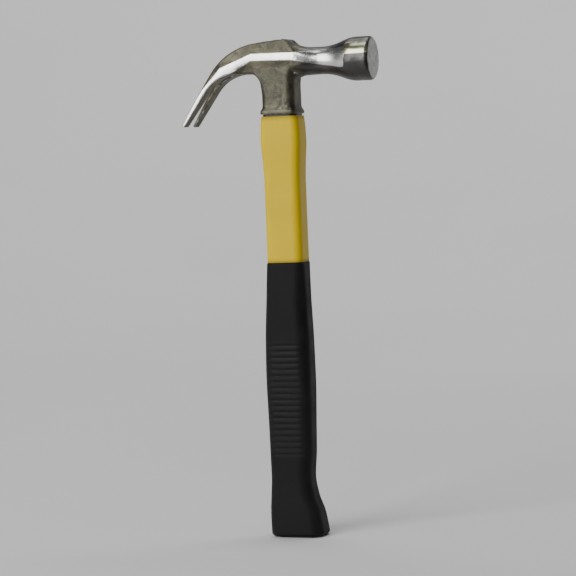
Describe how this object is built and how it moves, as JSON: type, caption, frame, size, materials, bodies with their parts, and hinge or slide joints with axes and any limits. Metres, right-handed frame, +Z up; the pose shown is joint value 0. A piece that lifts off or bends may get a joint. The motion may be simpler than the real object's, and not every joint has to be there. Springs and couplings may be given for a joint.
{
  "type": "claw hammer",
  "caption": "Curved-claw nail hammer: forged steel head with a round striking face and a split claw, on a yellow fibreglass-cored handle with a black rubber grip.",
  "frame": {"origin": "on the handle's axis at the underside of the head, where the head rests on a hanging hook", "axes": "+Z up the handle towards the head, +X towards the striking face, claws towards -X, the same on both sides of the plane y = 0"},
  "size_m": [0.1301, 0.0288, 0.3285],
  "materials": {
    "forged_steel": "forged and belt-ground, bright on the face, neck and claws and dull grey on the cheeks",
    "epoxy_resin": "cast resin, glossy and slightly uneven",
    "yellow_plastic": "moulded plastic, satin-gloss",
    "glass_fibre": "pultruded glass-fibre rod, matt",
    "black_rubber": "ribbed thermoplastic rubber, matt"
  },
  "bodies": {
    "root": {"head": "forged_steel", "epoxy_bond": "epoxy_resin", "handle_jacket": "yellow_plastic", "fiberglass_core": "glass_fibre", "grip": "black_rubber"}
  },
  "joints": []
}
